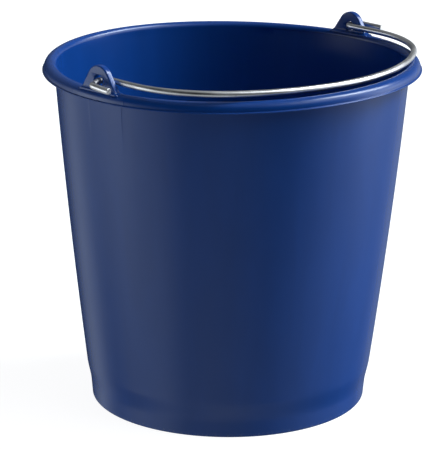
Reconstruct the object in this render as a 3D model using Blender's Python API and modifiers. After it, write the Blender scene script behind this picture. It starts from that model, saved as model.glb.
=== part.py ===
"""Wash bucket: a 12-litre moulded bucket with two ears on its rim, and a loose wire bail.

Frame: origin at the centre of the base, +Z up, the bail's pivot along X.
The bail is drawn folded down towards -Y, lying just over the rim.
"""

import math

import bmesh
import bpy
from mathutils import Matrix, Vector

MM = 0.001

# Wall, from the top of the foot to the underside of the rim (mm).
WALL_Z0, WALL_Z1 = 31.0, 267.4
WALL_R0, WALL_R1 = 113.55, 138.7
WALL_BULGE = 1.35  # how far mid-wall stands out from a straight cone
WALL_T = 2.0

# Foot ring and floor. The wall draws in to the foot in a soft S between the two heights.
FOOT_Z, SHOULDER_Z = 14.0, 33.0
FOOT_R_TOP, FOOT_R_BOTTOM = 109.9, 108.9
FOOT_T = 2.4
FLOOR_TOP_Z = 24.4
FLOOR_T = 2.4
FLOOR_FILLET = 4.0

# Rim: an inverted J, its lip hanging outside the wall.
RIM_TOP_Z = 273.5
RIM_LIP_R = 148.0
RIM_LIP_Z = 265.4
RIM_INNER_EDGE = 3.0  # radius of the rounded inner edge
RIM_SHOULDER_EDGE = 2.5  # radius of the outer shoulder
RIM_SHOULDER_R = 145.4
RIM_T = 2.2

# Ears, flat plates standing on the rim's crest at +X and -X.
EAR_IN_X, EAR_OUT_X = 139.0, 144.2
EAR_BASE_HALF = 17.5
EAR_BASE_Z = 271.6
EAR_TOP_R = 11.6
EAR_ARC_Z = 279.6
HOLE_Z = 280.4
HOLE_R = 4.6
EAR_EDGE = 0.9

# Bail: one length of steel wire.
WIRE_R = 2.5
PIVOT_Z = 279.3
ARM_X = 135.8
ARM_L = 30.7
CORNER_R = 84.7
GRIP_R = 172.5
HOOK_X = 150.0
HOOK_BEND_R = 4.5
STUB_L = 23.0
REST_TILT = 0.35  # degrees the bail slopes down from its pivot, at rest

TURN_STEPS = 80


def clear_scene():
    for obj in list(bpy.data.objects):
        bpy.data.objects.remove(obj, do_unlink=True)
    for block in (bpy.data.meshes, bpy.data.curves, bpy.data.materials):
        for item in list(block):
            block.remove(item)


def new_collection(name):
    made = bpy.data.collections.new(name)
    bpy.context.scene.collection.children.link(made)
    return made


def material(name, colour, roughness, metallic=0.0):
    made = bpy.data.materials.new(name)
    made.use_nodes = True
    shader = made.node_tree.nodes["Principled BSDF"]
    shader.inputs["Base Color"].default_value = (*colour, 1.0)
    shader.inputs["Roughness"].default_value = roughness
    shader.inputs["Metallic"].default_value = metallic
    made.diffuse_color = (*colour, 1.0)
    return made


def arc(cx, cy, r, a0, a1, n):
    """n + 1 points on an arc, angles in degrees."""
    return [
        (
            cx + r * math.cos(math.radians(a0 + (a1 - a0) * i / n)),
            cy + r * math.sin(math.radians(a0 + (a1 - a0) * i / n)),
        )
        for i in range(n + 1)
    ]


def wall_r(z):
    """Outer radius of the wall, of the foot, or of the soft S between them."""
    if z <= FOOT_Z:
        return FOOT_R_BOTTOM + (FOOT_R_TOP - FOOT_R_BOTTOM) * z / FOOT_Z
    if z < SHOULDER_Z:
        span = SHOULDER_Z - FOOT_Z
        t = (z - FOOT_Z) / span
        low, high = FOOT_R_TOP, wall_r(SHOULDER_Z)
        low_slope = (FOOT_R_TOP - FOOT_R_BOTTOM) / FOOT_Z * span
        high_slope = (wall_r(SHOULDER_Z + 1.0) - high) * span
        return (
            low * (2 * t**3 - 3 * t**2 + 1)
            + low_slope * (t**3 - 2 * t**2 + t)
            + high * (3 * t**2 - 2 * t**3)
            + high_slope * (t**3 - t**2)
        )
    t = (z - WALL_Z0) / (WALL_Z1 - WALL_Z0)
    return WALL_R0 + (WALL_R1 - WALL_R0) * t + 4 * WALL_BULGE * t * (1 - t)


def bucket_profile():
    """(r, z) from the floor's centre, up the inside, over the rim, and down the outer side to the underside's centre."""
    points = [(0.0, FLOOR_TOP_Z)]
    corner_r = wall_r(FLOOR_TOP_Z + FLOOR_FILLET) - WALL_T - FLOOR_FILLET
    points += [(corner_r * 0.5, FLOOR_TOP_Z)]
    points += arc(corner_r, FLOOR_TOP_Z + FLOOR_FILLET, FLOOR_FILLET, -90, 0, 4)
    inside_to = RIM_TOP_Z - RIM_INNER_EDGE
    for i in range(1, 8):
        z = FLOOR_TOP_Z + FLOOR_FILLET + (inside_to - FLOOR_TOP_Z - FLOOR_FILLET) * i / 7
        points.append((wall_r(z) - WALL_T, z))
    # The rim's rounded inner edge, then its crest and outer shoulder.
    inner_r = wall_r(inside_to) - WALL_T
    points += arc(inner_r + RIM_INNER_EDGE, inside_to, RIM_INNER_EDGE, 180, 90, 5)[1:]
    points += arc(
        RIM_SHOULDER_R - RIM_SHOULDER_EDGE,
        RIM_TOP_Z - RIM_SHOULDER_EDGE,
        RIM_SHOULDER_EDGE,
        90,
        20,
        4,
    )
    # The lip's slightly rounded outer flank and its lower edge.
    points += [
        (RIM_LIP_R - 0.9, RIM_LIP_Z + 3.4),
        (RIM_LIP_R, RIM_LIP_Z + 0.5),
        (RIM_LIP_R - 0.35, RIM_LIP_Z),
        (RIM_LIP_R - 1.6, RIM_LIP_Z),
        (RIM_LIP_R - 1.9, RIM_LIP_Z + 0.3),
    ]
    # Up inside the lip and back down onto the wall.
    under_z = RIM_TOP_Z - RIM_T
    points += [
        (RIM_SHOULDER_R - 1.5, under_z - 1.1),
        (RIM_SHOULDER_R - 2.2, under_z - 0.2),
        (RIM_SHOULDER_R - 3.1, under_z),
    ]
    wall_top = wall_r(WALL_Z1)
    points += [
        (wall_top + 2.2, under_z),
        (wall_top + 0.9, under_z - 0.7),
        (wall_top + 0.3, under_z - 2.0),
    ]
    for i in range(8):
        z = WALL_Z1 + (SHOULDER_Z - WALL_Z1) * i / 7
        points.append((wall_r(z), z))
    # The soft S in to the foot, the foot's skirt, and the recess under the floor.
    for i in range(1, 6):
        z = SHOULDER_Z + (FOOT_Z - SHOULDER_Z) * i / 5
        points.append((wall_r(z), z))
    points += [
        (wall_r(1.2), 1.2),
        (FOOT_R_BOTTOM - 0.3, 0.35),
        (FOOT_R_BOTTOM - 0.9, 0.0),
        (FOOT_R_BOTTOM - FOOT_T + 0.4, 0.0),
        (FOOT_R_BOTTOM - FOOT_T, 0.4),
    ]
    recess_z = FLOOR_TOP_Z - FLOOR_T
    recess_r = FOOT_R_TOP - FOOT_T
    points += arc(recess_r - 2.0, recess_z - 2.0, 2.0, 0, 90, 3)
    points += [(recess_r * 0.5, recess_z), (0.0, recess_z)]
    return points


def turned(name, profile, collection):
    """The profile turned about Z by a Screw modifier."""
    mesh = bpy.data.meshes.new(name)
    verts = [(r * MM, 0.0, z * MM) for r, z in profile]
    mesh.from_pydata(verts, [(i, i + 1) for i in range(len(verts) - 1)], [])
    obj = bpy.data.objects.new(name, mesh)
    collection.objects.link(obj)
    screw = obj.modifiers.new("Turn", "SCREW")
    screw.axis = "Z"
    screw.angle = math.tau
    screw.steps = TURN_STEPS
    screw.render_steps = TURN_STEPS
    screw.use_merge_vertices = True
    screw.merge_threshold = 0.00001
    screw.use_smooth_shade = True
    return obj


def ear_outline():
    """(y, z) of an ear: a round top about the hole, with straight flanks running down and out to the crest."""
    reach = math.hypot(EAR_BASE_HALF, EAR_ARC_Z - EAR_BASE_Z)
    down = math.atan2(EAR_BASE_Z - EAR_ARC_Z, EAR_BASE_HALF)
    meet = math.degrees(down + math.acos(EAR_TOP_R / reach))
    top = arc(0.0, EAR_ARC_Z, EAR_TOP_R, meet, 180 - meet, 14)
    return [(EAR_BASE_HALF, EAR_BASE_Z), *top, (-EAR_BASE_HALF, EAR_BASE_Z)]


def ear_plate(name, side, collection):
    """A closed plate with rounded face edges."""
    outline = ear_outline()
    mesh = bpy.data.meshes.new(name)
    made = bmesh.new()
    low, high = sorted((side * EAR_IN_X, side * EAR_OUT_X))
    faces = []
    for x in (low, high):
        ring = [made.verts.new((x * MM, y * MM, z * MM)) for y, z in outline]
        faces.append((ring, made.faces.new(ring)))
    for i in range(len(outline)):
        j = (i + 1) % len(outline)
        a, b = faces[0][0], faces[1][0]
        made.faces.new((a[i], a[j], b[j], b[i]))
    bmesh.ops.recalc_face_normals(made, faces=made.faces)
    made.to_mesh(mesh)
    made.free()
    obj = bpy.data.objects.new(name, mesh)
    collection.objects.link(obj)
    bevel = obj.modifiers.new("Edge", "BEVEL")
    bevel.width = EAR_EDGE * MM
    bevel.segments = 2
    bevel.limit_method = "ANGLE"
    bevel.angle_limit = math.radians(50)
    return obj


def cylinder_x(name, radius, x0, x1, z, steps, collection):
    mesh = bpy.data.meshes.new(name)
    made = bmesh.new()
    bmesh.ops.create_cone(
        made,
        cap_ends=True,
        segments=steps,
        radius1=radius * MM,
        radius2=radius * MM,
        depth=(x1 - x0) * MM,
        matrix=Matrix.Translation(((x0 + x1) / 2 * MM, 0, z * MM))
        @ Matrix.Rotation(math.radians(90), 4, "Y"),
    )
    bmesh.ops.recalc_face_normals(made, faces=made.faces)
    made.to_mesh(mesh)
    made.free()
    obj = bpy.data.objects.new(name, mesh)
    collection.objects.link(obj)
    return obj


def boolean(obj, other, operation):
    step = obj.modifiers.new(f"{operation.title()} {other.name}", "BOOLEAN")
    step.operation = operation
    step.solver = "EXACT"
    step.object = other
    return step


def bail_path():
    """The wire's centreline in its own plane, pivot on X, loop towards -Y."""
    centre = (ARM_X - CORNER_R, ARM_L)
    drop = ARM_L - math.sqrt(
        (GRIP_R - CORNER_R) ** 2 - (ARM_X - CORNER_R) ** 2
    )
    turn = math.degrees(math.atan2(ARM_L - drop, ARM_X - CORNER_R))
    half = [(HOOK_X, STUB_L)]
    half += [(HOOK_X, (STUB_L + HOOK_BEND_R) / 2)]
    half += arc(HOOK_X - HOOK_BEND_R, HOOK_BEND_R, HOOK_BEND_R, 0, -90, 6)
    half += arc(ARM_X + HOOK_BEND_R, HOOK_BEND_R, HOOK_BEND_R, -90, -180, 6)
    half += [(ARM_X, (ARM_L + HOOK_BEND_R) / 2)]
    half += arc(*centre, CORNER_R, 0, turn, 10)
    half += arc(0.0, drop, GRIP_R, turn, 90, 16)[1:]
    whole = half + [(-x, y) for x, y in reversed(half[:-1])]
    return [(x, -y, 0.0) for x, y in whole]


def wire(name, path, radius, collection):
    """A closed mesh swept along a path, from a bevelled curve with filled caps."""
    curve = bpy.data.curves.new(name + "_path", "CURVE")
    curve.dimensions = "3D"
    curve.bevel_depth = radius * MM
    curve.bevel_resolution = 3
    curve.use_fill_caps = True
    spline = curve.splines.new("POLY")
    spline.points.add(len(path) - 1)
    for point, (x, y, z) in zip(spline.points, path):
        point.co = (x * MM, y * MM, z * MM, 1.0)
    source = bpy.data.objects.new(name + "_path", curve)
    collection.objects.link(source)
    bpy.context.view_layer.update()
    graph = bpy.context.evaluated_depsgraph_get()
    mesh = bpy.data.meshes.new_from_object(source.evaluated_get(graph))
    made = bmesh.new()
    made.from_mesh(mesh)
    bmesh.ops.remove_doubles(made, verts=made.verts, dist=1e-6)
    bmesh.ops.recalc_face_normals(made, faces=made.faces)
    made.to_mesh(mesh)
    made.free()
    mesh.name = name
    bpy.data.objects.remove(source, do_unlink=True)
    obj = bpy.data.objects.new(name, mesh)
    collection.objects.link(obj)
    for face in mesh.polygons:
        face.use_smooth = len(face.vertices) == 4
    return obj


def main():
    clear_scene()
    parts = new_collection("wash_bucket")
    cutters = new_collection("cutters")
    cutters.hide_render = True

    blue = material("blue_polypropylene", (0.012, 0.045, 0.150), 0.34)
    steel = material("bright_steel_wire", (0.62, 0.62, 0.60), 0.22, 1.0)

    body = turned("bucket_body", bucket_profile(), parts)
    body.data.materials.append(blue)
    for side, label in ((-1, "left"), (1, "right")):
        plate = ear_plate(f"ear_{label}", side, cutters)
        plate.data.materials.append(blue)
        boolean(body, plate, "UNION")
    for side, label in ((-1, "left"), (1, "right")):
        x0, x1 = sorted((side * (EAR_IN_X - 4.0), side * (EAR_OUT_X + 4.0)))
        hole = cylinder_x(f"pivot_hole_{label}", HOLE_R, x0, x1, HOLE_Z, 32, cutters)
        boolean(body, hole, "DIFFERENCE")
    for helper in cutters.objects:
        helper.hide_render = True
        helper.display_type = "WIRE"

    bail = wire("wire_bail", bail_path(), WIRE_R, parts)
    bail.data.materials.append(steel)
    bail.location = Vector((0.0, 0.0, PIVOT_Z * MM))
    bail.rotation_euler = (math.radians(REST_TILT), 0.0, 0.0)


main()
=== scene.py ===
import math

import bmesh
import bpy
import numpy as np
from mathutils import Matrix, Vector


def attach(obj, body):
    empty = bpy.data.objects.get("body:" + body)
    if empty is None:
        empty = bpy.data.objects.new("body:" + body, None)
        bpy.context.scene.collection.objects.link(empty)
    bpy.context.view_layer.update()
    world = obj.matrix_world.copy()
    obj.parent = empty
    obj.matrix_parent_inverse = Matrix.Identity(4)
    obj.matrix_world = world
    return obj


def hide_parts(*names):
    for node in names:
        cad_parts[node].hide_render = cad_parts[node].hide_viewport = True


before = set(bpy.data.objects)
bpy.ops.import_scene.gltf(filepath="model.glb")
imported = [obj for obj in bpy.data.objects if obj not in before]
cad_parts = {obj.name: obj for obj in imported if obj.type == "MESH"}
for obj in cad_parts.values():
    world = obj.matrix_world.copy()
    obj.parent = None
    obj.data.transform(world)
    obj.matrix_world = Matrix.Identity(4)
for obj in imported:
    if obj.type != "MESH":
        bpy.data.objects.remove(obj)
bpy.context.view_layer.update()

MM = 0.001

# The measures of the CAD part that the fine meshes follow (mm).
WALL_Z0, WALL_Z1 = 31.0, 267.4
WALL_R0, WALL_R1 = 113.55, 138.7
WALL_BULGE = 1.35
WALL_T = 2.0
FOOT_Z, SHOULDER_Z = 12.0, 30.0
FOOT_R_TOP, FOOT_R_BOTTOM = 110.0, 108.9
FOOT_T = 2.4
FLOOR_TOP_Z = 24.4
FLOOR_T = 2.4
FLOOR_FILLET = 4.0
RIM_TOP_Z = 273.5
RIM_LIP_R = 148.0
RIM_LIP_Z = 265.4
RIM_INNER_EDGE = 4.4
ROLL_IN = 4.2
ROLL_R0, ROLL_R1 = 140.9, 146.8
ROLL_Z1 = 267.9
RIM_SHOULDER_EDGE = 2.5
RIM_SHOULDER_R = 145.4
RIM_T = 2.2
EAR_IN_X, EAR_OUT_X = 139.0, 144.2
EAR_BASE_HALF = 19.0
EAR_TOP_R = 11.6
EAR_ARC_Z = 279.6
HOLE_Z = 280.4
HOLE_R = 4.6
WIRE_R = 2.4
PIVOT_Z = 279.3
ARM_X = 135.8
ARM_L = 30.7
CORNER_R = 84.7
GRIP_R = 172.5
HOOK_X = 150.0
HOOK_BEND_R = 4.5
STUB_L = 23.0
REST_TILT = 0.35

EAR_TURN = math.radians(46.8)  # from the camera's left-right line to the row's X axis
EAR_SET = -1.2  # how far both ears sit below their nominal height (mm)
HOLE_SET = {1: (-2.0, 4.15), -1: (-2.0, 4.6)}  # the same for the hole in each, and its radius (mm)


# ---------------------------------------------------------------- small tools

def arc(cx, cy, r, a0, a1, n):
    """n + 1 points on an arc, angles in degrees."""
    return [
        (
            cx + r * math.cos(math.radians(a0 + (a1 - a0) * i / n)),
            cy + r * math.sin(math.radians(a0 + (a1 - a0) * i / n)),
        )
        for i in range(n + 1)
    ]


def line(a, b, n, last=False):
    """n points from a towards b, without b unless last."""
    return [
        (a[0] + (b[0] - a[0]) * i / n, a[1] + (b[1] - a[1]) * i / n)
        for i in range(n + (1 if last else 0))
    ]


def link(obj):
    bpy.context.scene.collection.objects.link(obj)
    return obj


def smooth_step(a, b, x):
    t = np.clip((np.asarray(x, float) - a) / (b - a), 0.0, 1.0)
    return t * t * (3 - 2 * t)


# ---------------------------------------------------------------- the bucket body

def warp(angle, z):
    """How a real moulding of this size has sprung from true: (outward, upward) in mm, angle in the row's frame."""
    a = np.asarray(angle, float) + EAR_TURN
    h = np.clip(np.asarray(z, float) / 273.0, 0.0, 1.0)
    out = -0.37 * h * np.cos(2 * (a + 0.21)) + 1.31 * (1 - h) * np.cos(2 * (a - 0.74))
    up = (np.clip(np.asarray(z, float) - 150.0, 0.0, None) / 120.0) ** 2 * (
        1.31 * np.cos(2 * (a + 0.54)) + 1.53 * np.cos(a))
    return out, up


def wall_r(z):
    if z <= FOOT_Z:
        return FOOT_R_BOTTOM + (FOOT_R_TOP - FOOT_R_BOTTOM) * z / FOOT_Z
    if z < SHOULDER_Z:
        span = SHOULDER_Z - FOOT_Z
        t = (z - FOOT_Z) / span
        low, high = FOOT_R_TOP, wall_r(SHOULDER_Z)
        low_slope = (FOOT_R_TOP - FOOT_R_BOTTOM) / FOOT_Z * span
        high_slope = (wall_r(SHOULDER_Z + 1.0) - high) * span
        return (
            low * (2 * t**3 - 3 * t**2 + 1)
            + low_slope * (t**3 - 2 * t**2 + t)
            + high * (3 * t**2 - 2 * t**3)
            + high_slope * (t**3 - t**2)
        )
    t = (z - WALL_Z0) / (WALL_Z1 - WALL_Z0)
    return WALL_R0 + (WALL_R1 - WALL_R0) * t + 4 * WALL_BULGE * t * (1 - t)


def fine_profile():
    """(r, z, kind) from the floor's centre, up the inside, over the rim, down the outer side, to the underside's centre."""
    points = []

    def add(kind, found):
        for r, z in found:
            if not points or math.hypot(points[-1][0] - r, points[-1][1] - z) > 1e-4:
                points.append((r, z, kind))

    corner_r = wall_r(FLOOR_TOP_Z + FLOOR_FILLET) - WALL_T - FLOOR_FILLET
    # A shallow dished ring inside, as the mould's core leaves it.
    floor = [(0.0, 0.0), (4.0, 0.0), (8.0, 0.0), (12.0, 0.0), (17.0, 0.02), (19.0, 0.12),
             (20.5, 0.25), (22.5, 0.3), (30.0, 0.32), (45.0, 0.34), (60.0, 0.34),
             (75.0, 0.3), (85.0, 0.22), (93.0, 0.1), (100.0, 0.02), (corner_r, 0.0)]
    add("floor", [(r, FLOOR_TOP_Z - 0.32 + d) for r, d in floor[:-1]])
    add("floor", arc(corner_r, FLOOR_TOP_Z + FLOOR_FILLET, FLOOR_FILLET, -90, 0, 10))
    inside_to = RIM_TOP_Z - RIM_INNER_EDGE
    z0 = FLOOR_TOP_Z + FLOOR_FILLET
    for i in range(1, 45):
        z = z0 + (inside_to - z0) * i / 44
        add("inside", [(wall_r(z) - WALL_T, z)])
    inner_r = wall_r(inside_to) - WALL_T
    # Over the rim: a rounded inner edge, a full rolled shoulder that turns down to nearly upright, and a small
    # bead that steps out at the lower edge.
    add("crest", [(inner_r + ROLL_IN * (1 - math.cos(t)), inside_to + RIM_INNER_EDGE * math.sin(t))
                  for t in np.linspace(0, math.pi / 2, 16)])
    add("crest", [(ROLL_R0 + (ROLL_R1 - ROLL_R0) * math.sin(t), ROLL_Z1 + (RIM_TOP_Z - ROLL_Z1) * math.cos(t))
                  for t in np.linspace(0, math.radians(48), 10)])
    add("lip", [(ROLL_R0 + (ROLL_R1 - ROLL_R0) * math.sin(t), ROLL_Z1 + (RIM_TOP_Z - ROLL_Z1) * math.cos(t))
                for t in np.linspace(math.radians(48), math.pi / 2, 10)])
    add("lip", [(ROLL_R1 + 0.02, ROLL_Z1 - 0.5), (ROLL_R1 + 0.06, RIM_LIP_Z + 1.55)])
    add("lip", [(ROLL_R1 + 0.06 + 0.45 * (1 - math.cos(t)), RIM_LIP_Z + 1.5 - 0.4 * math.sin(t))
                for t in np.linspace(0.2, 1.2, 5)])
    add("lip", arc(RIM_LIP_R - 0.55, RIM_LIP_Z + 0.55, 0.55, 62, -90, 10))
    add("under", arc(RIM_LIP_R - 1.5, RIM_LIP_Z + 0.4, 0.4, -90, -180, 4))
    under_z = RIM_TOP_Z - RIM_T
    add("under", line((RIM_LIP_R - 1.9, RIM_LIP_Z + 0.6), (ROLL_R1 - 2.1, under_z - 3.2), 3))
    add("under", arc(ROLL_R1 - 5.2, under_z - 3.1, 3.1, 0, 90, 7))
    wall_top = wall_r(WALL_Z1)
    add("under", arc(wall_top + 2.45, under_z - 2.2, 2.2, 90, 180, 8))
    wall_from = under_z - 2.6
    for i in range(0, 53):
        z = wall_from + (SHOULDER_Z - wall_from) * i / 52
        add("wall", [(wall_r(z), z)])
    for i in range(1, 17):
        z = SHOULDER_Z + (FOOT_Z - SHOULDER_Z) * i / 16
        add("foot", [(wall_r(z), z)])
    for z in (10.0, 7.5, 5.0, 3.0, 1.8):
        add("foot", [(wall_r(z), z)])
    add("foot", arc(wall_r(1.3) - 1.3, 1.3, 1.3, 0, -90, 8))
    add("base", arc(FOOT_R_BOTTOM - FOOT_T + 0.5, 0.5, 0.5, -90, -180, 4))
    recess_z = FLOOR_TOP_Z - FLOOR_T
    recess_r = FOOT_R_TOP - FOOT_T
    add("base", line((FOOT_R_BOTTOM - FOOT_T, 0.6), (recess_r, recess_z - 2.0), 5))
    add("base", arc(recess_r - 2.0, recess_z - 2.0, 2.0, 0, 90, 6))
    # The underside's moulded ring and the small gate mark at its middle.
    under = [(95.0, 0.0), (80.0, 0.0), (62.0, 0.0), (50.5, 0.0), (49.6, -0.15), (49.0, -0.55),
             (48.2, -0.7), (47.2, -0.7), (46.4, -0.55), (45.8, -0.15), (44.9, 0.0), (34.0, 0.0),
             (16.0, 0.0), (11.0, 0.0), (9.6, 0.1), (8.8, 0.45), (8.0, 0.6), (5.0, 0.6),
             (2.4, 0.6), (2.1, 0.3), (1.9, -0.5), (1.5, -0.75), (0.8, -0.8), (0.0, -0.8)]
    add("base", [(r, recess_z + d) for r, d in under])
    return points


def body_columns():
    """Angles round the bucket: even, with extra ones at the moulding marks beside each ear."""
    even = [i * 360.0 / 240 for i in range(240)]
    extra = []
    for ear in (0.0, 180.0):
        for mark in MARKS_LIP + MARKS_WALL:
            extra += [ear + mark + d for d in (-0.34, -0.2, -0.1, 0.0, 0.1, 0.2, 0.34)]
    angles = sorted(a % 360.0 for a in even + extra)
    kept = [angles[0]]
    fixed = set(round(a % 360.0, 6) for a in extra)
    for a in angles[1:]:
        if a - kept[-1] < 0.45 and round(a, 6) not in fixed:
            continue
        if a - kept[-1] < 0.45 and round(kept[-1], 6) not in fixed:
            kept[-1] = a
            continue
        kept.append(a)
    return np.radians(np.array(kept))


# The mould's slides meet its ring in fine upright lines beside each ear: angle from the ear, in degrees.
MARKS_LIP = [-10.6, 10.6]
MARKS_WALL = [-7.2, 7.2]


def make_body():
    profile = fine_profile()
    angles = body_columns()
    n = len(angles)
    r = np.array([p[0] for p in profile])[:, None]
    z = np.array([p[1] for p in profile])[:, None] * np.ones((1, n))
    kinds = np.array([p[2] for p in profile])[:, None]
    a = angles[None, :]
    # A moulding this size is never quite true: a little out of round, more so towards the rim.
    high = np.clip(z / 273.0, 0, 1)
    drift = high * (0.16 * np.sin(2 * a + 0.7) + 0.07 * np.sin(3 * a + 2.1)) * np.clip(r / 100.0, 0, 1)
    # Slow sink and flow waves down the wall.
    wave = 0.035 * np.sin(7 * a + 0.02 * z) * np.sin(z / 41.0 + 1.0) + 0.02 * np.sin(13 * a - z / 60.0)
    drift = drift + wave * np.isin(kinds, ["wall", "inside"])
    off = np.zeros((len(profile), n))
    deg = np.degrees(a)
    for ear in (0.0, 180.0):
        near = (deg - ear + 180.0) % 360.0 - 180.0
        for mark in MARKS_LIP:
            d = np.abs(near - mark)
            off += np.isin(kinds, ["lip", "crest"]) * 0.11 * (1 - smooth_step(0.02, 0.22, d))
        lip_pad = smooth_step(MARKS_LIP[0] - 0.1, MARKS_LIP[0] + 0.1, near) * (
            1 - smooth_step(MARKS_LIP[1] - 0.1, MARKS_LIP[1] + 0.1, near))
        off += (kinds == "lip") * 0.07 * lip_pad
        fade = smooth_step(222.0, 256.0, z)
        for mark in MARKS_WALL:
            d = np.abs(near - mark)
            off += (kinds == "wall") * fade * 0.10 * (1 - smooth_step(0.02, 0.3, d))
        wall_pad = smooth_step(MARKS_WALL[0] - 0.12, MARKS_WALL[0] + 0.12, near) * (
            1 - smooth_step(MARKS_WALL[1] - 0.12, MARKS_WALL[1] + 0.12, near))
        off += (kinds == "wall") * fade * 0.09 * wall_pad
    inward = np.isin(kinds, ["inside"])
    flare = np.zeros_like(off)
    for ear in (0.0, 180.0):
        near = np.abs((deg - ear + 180.0) % 360.0 - 180.0)
        flare += 0.9 * (1 - smooth_step(10.0, 42.0, near)) * smooth_step(252.0, 270.0, z)
    flare = flare * inward
    spring, lift = warp(a * np.ones_like(z), z)
    spring = spring * np.clip(r / 100.0, 0, 1)
    radius = np.where(r > 0, r + drift + spring + np.where(inward, flare, off), 0.0)
    z = z + lift
    x = radius * np.cos(a)
    y = radius * np.sin(a)
    verts, faces = [], []
    ring = []
    for i in range(len(profile)):
        if profile[i][0] == 0.0:
            ring.append([len(verts)])
            verts.append((0.0, 0.0, z[i, 0] * MM))
        else:
            start = len(verts)
            verts += [(x[i, j] * MM, y[i, j] * MM, z[i, j] * MM) for j in range(n)]
            ring.append(list(range(start, start + n)))
    for i in range(len(profile) - 1):
        p, q = ring[i], ring[i + 1]
        for j in range(n):
            k = (j + 1) % n
            if len(p) == 1:
                faces.append((p[0], q[j], q[k]))
            elif len(q) == 1:
                faces.append((p[j], q[0], p[k]))
            else:
                faces.append((p[j], q[j], q[k], p[k]))
    mesh = bpy.data.meshes.new("bucket_body_fine")
    mesh.from_pydata(verts, [], faces)
    made = bmesh.new()
    made.from_mesh(mesh)
    bmesh.ops.recalc_face_normals(made, faces=made.faces)
    made.to_mesh(mesh)
    made.free()
    return link(bpy.data.objects.new("bucket_body_fine", mesh))


def make_ear(side):
    """One ear: a plate with rounded edges whose root flares into the rim's crest."""
    base_z = 272.2
    reach = math.hypot(EAR_BASE_HALF, EAR_ARC_Z - 271.6)
    down = math.atan2(271.6 - EAR_ARC_Z, EAR_BASE_HALF)
    meet = math.degrees(down + math.acos(EAR_TOP_R / reach))
    outline = [(EAR_BASE_HALF - 0.4, base_z)]
    outline += arc(0.0, EAR_ARC_Z, EAR_TOP_R, meet, 180 - meet, 40)
    outline += [(-EAR_BASE_HALF + 0.4, base_z)]
    made = bmesh.new()
    rings = []
    for x in (EAR_IN_X, EAR_OUT_X):
        ring = [made.verts.new((x * MM, y * MM, z * MM)) for y, z in outline]
        rings.append(ring)
        made.faces.new(ring)
    m = len(outline)
    for i in range(m):
        j = (i + 1) % m
        made.faces.new((rings[0][i], rings[0][j], rings[1][j], rings[1][i]))
    bmesh.ops.recalc_face_normals(made, faces=made.faces)
    made.edges.ensure_lookup_table()
    edge_ids = []
    for e in made.edges:
        xs = [v.co.x for v in e.verts]
        zs = [v.co.z for v in e.verts]
        if abs(xs[0] - xs[1]) < 1e-7 and max(zs) > (base_z + 0.01) * MM:
            edge_ids.append(e)
    bmesh.ops.bevel(made, geom=edge_ids, offset=1.15 * MM, segments=6, profile=0.5,
                    affect="EDGES", clamp_overlap=True)
    top_of_root = 276.2
    levels = [273.3, 273.5, 273.7, 273.9, 274.15, 274.45, 274.8, 275.2, 275.65, top_of_root]
    for level in levels:
        bmesh.ops.bisect_plane(made, geom=made.verts[:] + made.edges[:] + made.faces[:],
                               plane_co=(0, 0, level * MM), plane_no=(0, 0, 1), dist=1e-8)
    bmesh.ops.triangulate(made, faces=[f for f in made.faces if len(f.verts) > 4])
    mid = (EAR_IN_X + EAR_OUT_X) / 2
    half = (EAR_OUT_X - EAR_IN_X) / 2
    root_r = top_of_root - 273.3
    for v in made.verts:
        z = v.co.z / MM
        if z >= top_of_root:
            continue
        t = min(1.0, (top_of_root - z) / root_r)
        flare = 1.9 * (1 - math.sqrt(max(0.0, 1 - t * t)))
        across = (v.co.x / MM - mid) / half
        v.co.x += flare * 0.85 * across * MM
        y = v.co.y / MM
        v.co.y += flare * (y / EAR_BASE_HALF) ** 3 * MM
    # Its feet follow the round of the rim.
    for v in made.verts:
        along = max(0.0, abs(v.co.y / MM) - 6.0) / 142.0
        v.co.x -= 142.0 * (1 - math.cos(along)) * 1.15 * MM
    if side < 0:
        bmesh.ops.transform(made, matrix=Matrix.Rotation(math.pi, 4, "Z"), verts=made.verts)
    # The ear keeps its shape above, and its root follows the sprung rim.
    for v in made.verts:
        rim_up = float(warp(math.atan2(v.co.y, v.co.x), RIM_TOP_Z)[1])
        free = float(smooth_step(273.0, 277.5, v.co.z / MM))
        v.co.z += (rim_up + (EAR_SET - rim_up) * free) * MM
    bmesh.ops.recalc_face_normals(made, faces=made.faces)
    mesh = bpy.data.meshes.new("ear")
    made.to_mesh(mesh)
    made.free()
    return link(bpy.data.objects.new("ear", mesh))


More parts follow.
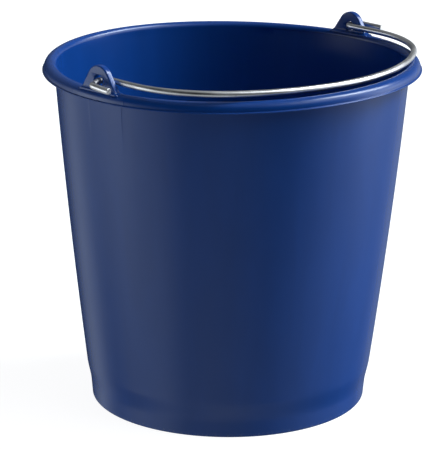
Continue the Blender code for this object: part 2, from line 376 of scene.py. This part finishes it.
def make_hole_cutter(side):
    """Turned about X: the hole, with its mouths rounded over."""
    lip = 0.6
    hole_r = HOLE_SET[side][1]
    profile = [(EAR_IN_X - 3.0, hole_r + 3.6), (EAR_IN_X - 1.2, hole_r + lip + 1.2), (EAR_IN_X - 0.02, hole_r + lip)]
    profile += [(EAR_IN_X + lip - lip * math.cos(t), hole_r + lip - lip * math.sin(t))
                for t in np.linspace(0.15, math.pi / 2, 6)]
    profile += [(EAR_OUT_X - lip + lip * math.sin(t), hole_r + lip - lip * math.cos(t))
                for t in np.linspace(0.0, math.pi / 2 - 0.15, 6)]
    profile += [(EAR_OUT_X + 0.02, hole_r + lip), (EAR_OUT_X + 1.2, hole_r + lip + 1.2), (EAR_OUT_X + 3.0, hole_r + 3.6)]
    # The part of the cutter outside the plate narrows, so that it never reaches the rim.
    profile[0] = (EAR_IN_X - 3.0, hole_r)
    profile[1] = (EAR_IN_X - 1.2, hole_r + lip)
    profile[-2] = (EAR_OUT_X + 1.2, hole_r + lip)
    profile[-1] = (EAR_OUT_X + 3.0, hole_r)
    made = bmesh.new()
    n = 48
    rings = []
    for x, r in profile:
        rings.append([made.verts.new((x * MM, r * math.cos(math.tau * j / n) * MM,
                                      (HOLE_Z + HOLE_SET[side][0] + r * math.sin(math.tau * j / n)) * MM)) for j in range(n)])
    for p, q in zip(rings, rings[1:]):
        for j in range(n):
            k = (j + 1) % n
            made.faces.new((p[j], p[k], q[k], q[j]))
    made.faces.new(rings[0])
    made.faces.new(rings[-1])
    if side < 0:
        bmesh.ops.transform(made, matrix=Matrix.Rotation(math.pi, 4, "Z"), verts=made.verts)
    bmesh.ops.recalc_face_normals(made, faces=made.faces)
    mesh = bpy.data.meshes.new("hole_cutter")
    made.to_mesh(mesh)
    made.free()
    return link(bpy.data.objects.new("hole_cutter", mesh))


def combine(obj, other, operation):
    """A Boolean worked out once, its result kept as the object's mesh."""
    step = obj.modifiers.new("Combine", "BOOLEAN")
    step.operation = operation
    step.solver = "MANIFOLD"
    step.object = other
    bpy.context.view_layer.update()
    graph = bpy.context.evaluated_depsgraph_get()
    mesh = bpy.data.meshes.new_from_object(obj.evaluated_get(graph))
    obj.modifiers.clear()
    old = obj.data
    obj.data = mesh
    bpy.data.meshes.remove(old)
    bpy.data.objects.remove(other, do_unlink=True)


# ---------------------------------------------------------------- the wire bail

def bail_path():
    """The wire's centreline in its own plane, finely stepped."""
    centre = (ARM_X - CORNER_R, ARM_L)
    drop = ARM_L - math.sqrt((GRIP_R - CORNER_R) ** 2 - (ARM_X - CORNER_R) ** 2)
    turn = math.degrees(math.atan2(ARM_L - drop, ARM_X - CORNER_R))

    def half(stub, nip, hook_x):
        pts = line((hook_x - nip, stub), (hook_x, HOOK_BEND_R), 18)
        pts += arc(hook_x - HOOK_BEND_R, HOOK_BEND_R, HOOK_BEND_R, 0, -90, 16)
        pts += line((hook_x - HOOK_BEND_R, 0.0), (ARM_X + HOOK_BEND_R, 0.0), 12)[1:]
        pts += arc(ARM_X + HOOK_BEND_R, HOOK_BEND_R, HOOK_BEND_R, -90, -180, 16)
        pts += line((ARM_X, HOOK_BEND_R), (ARM_X, ARM_L), 16)[1:]
        pts += arc(*centre, CORNER_R, 0, turn, 24)
        pts += arc(0.0, drop, GRIP_R, turn, 90, 60)[1:]
        return pts

    # The two hooks were bent by hand: the one at -X hangs lower where it leaves its ear, and was cropped shorter.
    right = half(STUB_L + 3.0, 0.5, HOOK_X)
    left = half(STUB_L - 3.5, 0.8, HOOK_X + 2.2)
    whole = right + [(-x, y) for x, y in reversed(left[:-1])]
    low = []
    for x, y in whole:
        sag = 0.10 * float(smooth_step(8.0, 60.0, y)) + 0.30 * float(smooth_step(70.0, 125.0, y))
        near_ear = float(smooth_step(0.0, 128.0, -x)) * (1 - float(smooth_step(20.0, 110.0, y)))
        out = float(smooth_step(143.4, 149.5, -x))
        low.append(-sag - 1.0 * near_ear - (1.9 + 1.5 * float(smooth_step(0.0, 20.0, y))) * out)
    return np.array([(x, -y, z) for (x, y), z in zip(whole, low)])


def make_wire():
    path = bail_path()
    seg = np.linalg.norm(np.diff(path, axis=0), axis=1)
    path = path[np.r_[True, seg > 1e-4]]
    seg = np.linalg.norm(np.diff(path, axis=0), axis=1)
    along = np.r_[0.0, np.cumsum(seg)]
    total = along[-1]
    # Drawn and bent wire: very small wanders off the true line.
    wob_n = 0.10 * np.sin(along / 37.0 + 1.1) + 0.05 * np.sin(along / 13.0)
    wob_b = 0.10 * np.sin(along / 49.0 + 0.4) + 0.04 * np.sin(along / 17.0 + 2.0)
    tang = np.gradient(path, along, axis=0)
    tang /= np.linalg.norm(tang, axis=1)[:, None]
    up = np.array([0.0, 0.0, 1.0])
    side = np.cross(up, tang)
    side /= np.linalg.norm(side, axis=1)[:, None]
    ends = smooth_step(26.0, 70.0, np.minimum(along, total - along))
    centre = path + side * (wob_n * ends)[:, None] + up * (wob_b * ends)[:, None]
    # Where it is bent tightly, the wire thins a touch on the outside and flattens.
    bend = np.zeros(len(path))
    turn = np.arccos(np.clip((tang[1:] * tang[:-1]).sum(1), -1, 1)) / np.maximum(seg, 1e-6)
    bend[1:] = turn
    bend = np.convolve(bend, np.ones(7) / 7, mode="same")
    flat = np.clip(bend * HOOK_BEND_R, 0, 1) * 0.04
    n = 40
    verts, faces, where = [], [], []

    def ring(c, t, s, scale, s_along, flatten=0.0, tip=0.0, tilt=0.0):
        start = len(verts)
        for j in range(n):
            ang = math.tau * j / n
            rs = WIRE_R * scale * (1 - flatten)
            ru = WIRE_R * scale * (1 + flatten * 0.5)
            p = c + s * (rs * math.cos(ang)) + up * (ru * math.sin(ang))
            p = p + t * (tip + tilt * math.sin(ang + 0.6) * scale)
            verts.append(tuple(p * MM))
            where.append((s_along, ang))
        return start

    rings = []
    # Cropped ends: a small chamfer where the cutter rolled the edge over, and a faintly slanting face.
    for scale, tip in ((0.35, -0.02), (0.7, 0.0), (0.86, 0.0), (0.93, 0.08), (0.975, 0.24), (1.0, 0.5)):
        rings.append(ring(centre[0], tang[0], side[0], scale, tip, tip=tip, tilt=0.16))
    first_tip = rings[0]
    for i in range(1, len(path) - 1):
        if along[i] < 0.8 or along[i] > total - 0.8:
            continue
        rings.append(ring(centre[i], tang[i], side[i], 1.0, along[i], flatten=flat[i]))
    for scale, tip in ((1.0, -0.5), (0.975, -0.24), (0.93, -0.08), (0.86, 0.0), (0.7, 0.0), (0.35, 0.02)):
        rings.append(ring(centre[-1], tang[-1], side[-1], scale, total + tip, tip=tip, tilt=-0.16))
    for p, q in zip(rings, rings[1:]):
        for j in range(n):
            k = (j + 1) % n
            faces.append((p + j, q + j, q + k, p + k))
    for start, c, t in ((rings[0], centre[0], -0.03), (rings[-1], centre[-1], 0.03)):
        mid = len(verts)
        tv = tang[0] if start == rings[0] else tang[-1]
        verts.append(tuple((c + tv * t) * MM))
        where.append((0.0 if start == rings[0] else total, 0.0))
        for j in range(n):
            faces.append((mid, start + j, start + (j + 1) % n))
    mesh = bpy.data.meshes.new("wire_bail_fine")
    mesh.from_pydata(verts, [], faces)
    made = bmesh.new()
    made.from_mesh(mesh)
    bmesh.ops.recalc_face_normals(made, faces=made.faces)
    made.to_mesh(mesh)
    made.free()
    # (distance along the wire, then a turn round it) for the drawn lines; metres.
    lay = mesh.attributes.new("wire_lay", "FLOAT_VECTOR", "POINT")
    data = np.array([(s * MM, WIRE_R * MM * math.cos(b), WIRE_R * MM * math.sin(b)) for s, b in where], np.float32)
    lay.data.foreach_set("vector", data.reshape(-1))
    obj = link(bpy.data.objects.new("wire_bail_fine", mesh))
    obj.matrix_world = Matrix.Translation((0, 0, PIVOT_Z * MM)) @ Matrix.Rotation(math.radians(REST_TILT), 4, "X")
    bpy.context.view_layer.update()
    mesh.transform(obj.matrix_world)
    obj.matrix_world = Matrix.Identity(4)
    return obj


def shade(obj, degrees):
    mesh = obj.data
    mesh.polygons.foreach_set("use_smooth", [True] * len(mesh.polygons))
    mesh.set_sharp_from_angle(angle=math.radians(degrees))
    mesh.update()


# ---------------------------------------------------------------- materials

class Nodes:
    """A short way to write a node tree."""

    def __init__(self, name):
        self.mat = bpy.data.materials.new(name)
        self.mat.use_nodes = True
        self.tree = self.mat.node_tree
        self.bsdf = self.tree.nodes["Principled BSDF"]

    def new(self, kind, **values):
        node = self.tree.nodes.new(kind)
        for key, value in values.items():
            setattr(node, key, value)
        return node

    def put(self, socket, value):
        if hasattr(value, "is_output") or isinstance(value, bpy.types.NodeSocket):
            self.tree.links.new(value, socket)
        else:
            socket.default_value = value

    def coords(self):
        return self.new("ShaderNodeTexCoord").outputs["Object"]

    def scaled(self, vector, scale):
        node = self.new("ShaderNodeMapping")
        self.put(node.inputs["Vector"], vector)
        node.inputs["Scale"].default_value = scale
        return node.outputs["Vector"]

    def noise(self, vector, scale, detail=3.0, rough=0.5, distortion=0.0):
        node = self.new("ShaderNodeTexNoise")
        self.put(node.inputs["Vector"], vector)
        node.inputs["Scale"].default_value = scale
        node.inputs["Detail"].default_value = detail
        node.inputs["Roughness"].default_value = rough
        node.inputs["Distortion"].default_value = distortion
        return node.outputs["Fac"]

    def math(self, operation, a, b=0.0, clamp=False):
        node = self.new("ShaderNodeMath", operation=operation, use_clamp=clamp)
        self.put(node.inputs[0], a)
        self.put(node.inputs[1], b)
        return node.outputs[0]

    def ramp(self, value, low, high, to_low=0.0, to_high=1.0):
        node = self.new("ShaderNodeMapRange", interpolation_type="SMOOTHSTEP")
        self.put(node.inputs["Value"], value)
        node.inputs["From Min"].default_value = low
        node.inputs["From Max"].default_value = high
        node.inputs["To Min"].default_value = to_low
        node.inputs["To Max"].default_value = to_high
        return node.outputs["Result"]

    def mix(self, factor, a, b):
        node = self.new("ShaderNodeMix", data_type="RGBA")
        self.put(node.inputs["Factor"], factor)
        self.put(node.inputs[6], a)
        self.put(node.inputs[7], b)
        return node.outputs[2]

    def bump(self, height, strength, distance, normal=None):
        node = self.new("ShaderNodeBump")
        node.inputs["Strength"].default_value = strength
        node.inputs["Distance"].default_value = distance
        self.put(node.inputs["Height"], height)
        if normal is not None:
            self.put(node.inputs["Normal"], normal)
        return node.outputs["Normal"]


def blue_plastic():
    n = Nodes("blue_polypropylene")
    here = n.coords()
    # Colour: masterbatch that never mixes quite evenly, in faint upright flow streaks.
    flow = n.noise(n.scaled(here, (1.0, 1.0, 0.16)), 46.0, 4.0, 0.55, 0.6)
    cloud = n.noise(here, 13.0, 3.0, 0.5)
    tone = n.math("ADD", n.math("MULTIPLY", flow, 0.55), n.math("MULTIPLY", cloud, 0.45))
    base = n.mix(n.ramp(tone, 0.36, 0.66), (0.0036, 0.0450, 0.222, 1.0), (0.0042, 0.0500, 0.246, 1.0))
    # Handling: edges that stand proud rub paler, and the foot picks up scuffs.
    edge = n.new("ShaderNodeNewGeometry").outputs["Pointiness"]
    rubbed = n.math("MULTIPLY", n.ramp(edge, 0.535, 0.60), n.ramp(n.noise(here, 160.0, 4.0, 0.6), 0.42, 0.66), clamp=True)
    split = n.new("ShaderNodeSeparateXYZ")
    n.put(split.inputs[0], here)
    low = n.ramp(split.outputs["Z"], 0.0, 0.006, 1.0, 0.0)
    scuff = n.math("MULTIPLY", low, n.ramp(n.noise(here, 420.0, 5.0, 0.65), 0.47, 0.62), clamp=True)
    worn = n.math("MAXIMUM", n.math("MULTIPLY", rubbed, 0.32), n.math("MULTIPLY", scuff, 0.45), clamp=True)
    # Fine scratches in two slanting sets, and a few longer ones.
    set_a = n.noise(n.scaled(here, (38.0, 38.0, 900.0)), 1.0, 2.0, 0.5, 0.25)
    set_b = n.noise(n.scaled(here, (620.0, 620.0, 55.0)), 1.0, 2.0, 0.5, 0.2)
    hair_a = n.ramp(set_a, 0.64, 0.74)
    hair_b = n.ramp(set_b, 0.645, 0.745)
    where = n.ramp(n.noise(here, 24.0, 2.0, 0.5), 0.48, 0.62)
    hairs = n.math("MULTIPLY", n.math("MAXIMUM", hair_a, hair_b), where, clamp=True)
    marked = n.math("MAXIMUM", worn, n.math("MULTIPLY", hairs, 0.04), clamp=True)
    n.put(n.bsdf.inputs["Base Color"], n.mix(marked, base, (0.055, 0.095, 0.21, 1.0)))
    # Roughness: satin, a little uneven, duller where scuffed.
    mottled = n.noise(here, 40.0, 2.0, 0.5)
    rough = n.ramp(mottled, 0.30, 0.70, 0.225, 0.258)
    rough = n.math("ADD", rough, n.math("MULTIPLY", worn, 0.12))
    rough = n.math("ADD", rough, n.math("MULTIPLY", hairs, 0.012), clamp=True)
    n.put(n.bsdf.inputs["Roughness"], rough)
    # Relief: the spark-eroded grain of the mould and a slow orange peel.
    grain = n.noise(here, 2600.0, 2.0, 0.6)
    peel = n.noise(here, 210.0, 2.0, 0.5)
    normal = n.bump(grain, 0.10, 0.00006)
    normal = n.bump(peel, 0.14, 0.00010, normal)
    n.put(n.bsdf.inputs["Normal"], normal)
    n.bsdf.inputs["IOR"].default_value = 1.49
    n.bsdf.inputs["Specular IOR Level"].default_value = 0.42
    return n.mat


def steel_wire():
    n = Nodes("bright_steel_wire")
    here = n.coords()
    lay = n.new("ShaderNodeAttribute", attribute_name="wire_lay", attribute_type="GEOMETRY").outputs["Vector"]
    # Drawing lines run along the wire; plating clouds and handling marks lie over them.
    lines = n.noise(n.scaled(lay, (22.0, 2600.0, 2600.0)), 1.0, 3.0, 0.6)
    fine = n.noise(n.scaled(lay, (60.0, 7000.0, 7000.0)), 1.0, 2.0, 0.6)
    cloud = n.noise(here, 55.0, 4.0, 0.55)
    spots = n.ramp(n.noise(here, 700.0, 3.0, 0.6), 0.60, 0.70)
    tone = n.math("ADD", n.math("MULTIPLY", lines, 0.35), n.math("MULTIPLY", cloud, 0.65))
    colour = n.mix(n.ramp(tone, 0.35, 0.68), (0.62, 0.59, 0.565, 1.0), (0.81, 0.77, 0.735, 1.0))
    colour = n.mix(n.math("MULTIPLY", spots, 0.35), colour, (0.30, 0.285, 0.265, 1.0))
    n.put(n.bsdf.inputs["Base Color"], colour)
    n.bsdf.inputs["Metallic"].default_value = 1.0
    rough = n.ramp(lines, 0.28, 0.72, 0.27, 0.38)
    rough = n.math("ADD", rough, n.math("MULTIPLY", spots, 0.14))
    rough = n.math("ADD", rough, n.ramp(cloud, 0.35, 0.7, 0.0, 0.07), clamp=True)
    n.put(n.bsdf.inputs["Roughness"], rough)
    normal = n.bump(lines, 0.20, 0.00004)
    normal = n.bump(fine, 0.12, 0.00002, normal)
    normal = n.bump(spots, 0.15, -0.00003, normal)
    n.put(n.bsdf.inputs["Normal"], normal)
    return n.mat


def floor_material():
    n = Nodes("studio_floor")
    n.bsdf.inputs["Base Color"].default_value = (0.30, 0.30, 0.30, 1.0)
    n.bsdf.inputs["Roughness"].default_value = 0.9
    n.bsdf.inputs["Specular IOR Level"].default_value = 0.0
    # Lit evenly through from below, like a light table, so that it stays plain and pale.
    n.bsdf.inputs["Emission Color"].default_value = (1.0, 1.0, 1.0, 1.0)
    n.bsdf.inputs["Emission Strength"].default_value = 0.93
    return n.mat


# ---------------------------------------------------------------- build

blue = blue_plastic()
steel = steel_wire()

body = make_body()
for turn_to in (-1, 1):
    combine(body, make_ear(turn_to), "UNION")
for turn_to in (-1, 1):
    combine(body, make_hole_cutter(turn_to), "DIFFERENCE")
shade(body, 38)
body.data.materials.clear()
body.data.materials.append(blue)
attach(body, "bucket")
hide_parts("bucket_body")

bail = make_wire()
shade(bail, 50)
bail.data.materials.append(steel)
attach(bail, "bail")
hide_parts("wire_bail")

# The CAD nodes stay as they are, with finished materials too.
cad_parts["bucket_body"].data.materials.clear()
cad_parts["bucket_body"].data.materials.append(blue)
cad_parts["wire_bail"].data.materials.clear()
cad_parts["wire_bail"].data.materials.append(steel)

# ---------------------------------------------------------------- floor, camera, light

floor_mesh = bpy.data.meshes.new("floor")
floor_mesh.from_pydata([(-6, -6, 0), (6, -6, 0), (6, 6, 0), (-6, 6, 0)], [], [(0, 1, 2, 3)])
floor = link(bpy.data.objects.new("floor", floor_mesh))
floor.data.materials.append(floor_material())
# The pale floor is only looked at: it doesn't wash the object with its own light or block the low lights.
floor.visible_diffuse = False
floor.visible_glossy = False
floor.visible_transmission = False
floor.visible_shadow = False

TO_ROW = Matrix.Rotation(-EAR_TURN, 4, "Z")


def view_axes(pitch, pan, roll):
    """The camera's right, up and forward, before the turn into the row's frame."""
    forward = Vector((math.sin(pan) * math.cos(pitch), math.cos(pan) * math.cos(pitch), -math.sin(pitch)))
    right = Vector((math.cos(pan), -math.sin(pan), 0.0))
    up = right.cross(forward)
    r2 = right * math.cos(roll) + up * math.sin(roll)
    u2 = -right * math.sin(roll) + up * math.cos(roll)
    return r2, u2, forward


camera_data = bpy.data.cameras.new("camera")
camera_data.sensor_width = 36.0
camera_data.sensor_fit = "AUTO"
camera_data.lens = 194.53
camera_data.clip_end = 50.0
camera = link(bpy.data.objects.new("camera", camera_data))
r2, u2, forward = view_axes(0.2901, -0.0039, 0.0122)
pose = Matrix.Identity(4)
for row in range(3):
    pose[row][0], pose[row][1], pose[row][2] = r2[row], u2[row], -forward[row]
pose.translation = Vector((0.0, -1.84908, 0.68965))
camera.matrix_world = TO_ROW @ pose
bpy.context.scene.camera = camera


# Soft, broad lights round the object: (azimuth, elevation, strength, tightness). Azimuth 0 is at the camera, 90
# to its right and 180 behind the object. The camera's own side stays dark, and the key is high on the right.
SOFT_LIGHTS = [
    (96, 54, 27.0, 150), (103, 43, 30.0, 150), (110, 31, 17.0, 120),
    (60, 48, 2.60, 45), (78.8, 31, 2.70, 40), (56.2, 31, 0.60, 27), (22.5, 66, 0.13, 27), (30, 48, 0.33, 27),
    (0, 84, 0.45, 14), (180, 55, 0.28, 14), (180, 24, 0.18, 14), (225, 30, 0.22, 14),
    (90, 14, 1.40, 27), (108, 14, 1.00, 27), (99, -3, 2.60, 27), (117, -3, 1.10, 27), (135, -3, 0.30, 27),
    (153, -3, 0.32, 27), (261, -3, 1.90, 27), (279, -3, 1.70, 27), (77.1, -20, 0.62, 27),
    (154.3, -20, 0.20, 27), (231.4, -20, 0.70, 27), (282.9, -20, 0.92, 27), (308.6, -20, 0.44, 27),
    (54, -38, 0.42, 27), (306, -38, 0.82, 27), (342, -38, 0.50, 27), (8, -34, 0.26, 20), (25, -45, 0.30, 27),
    (0, -60, 0.60, 27), (120, -60, 0.66, 27), (240, -60, 0.70, 27), (212, -44, 0.30, 27), (262, -50, 0.18, 27),
]

world = bpy.data.worlds.new("studio")
bpy.context.scene.world = world
world.use_nodes = True
tree = world.node_tree
back = tree.nodes["Background"]
back.inputs["Color"].default_value = (0.90, 1.0, 1.10, 1.0)  # a cool daylight-balanced softbox
sky = tree.nodes.new("ShaderNodeTexCoord").outputs["Generated"]


def sum_of(kind, a, b, c=None):
    node = tree.nodes.new("ShaderNodeMath")
    node.operation = kind
    for socket, value in zip(node.inputs, (a, b) if c is None else (a, b, c)):
        if isinstance(value, bpy.types.NodeSocket):
            tree.links.new(value, socket)
        else:
            socket.default_value = value
    return node.outputs[0]


glow = 0.0
for azimuth, elevation, strength, tightness in SOFT_LIGHTS:
    az, el = math.radians(azimuth), math.radians(elevation)
    to_light = TO_ROW @ Vector((math.sin(az) * math.cos(el), -math.cos(az) * math.cos(el), math.sin(el)))
    near = tree.nodes.new("ShaderNodeVectorMath")
    near.operation = "DOT_PRODUCT"
    tree.links.new(sky, near.inputs[0])
    near.inputs[1].default_value = to_light
    power = sum_of("MULTIPLY_ADD", near.outputs["Value"], float(tightness), -float(tightness))
    lobe = tree.nodes.new("ShaderNodeMath")
    lobe.operation = "EXPONENT"
    tree.links.new(power, lobe.inputs[0])
    glow = sum_of("MULTIPLY_ADD", lobe.outputs[0], strength, glow)
tree.links.new(glow, back.inputs["Strength"])

view = bpy.context.scene.view_settings
view.view_transform = "Standard"
view.look = "None"
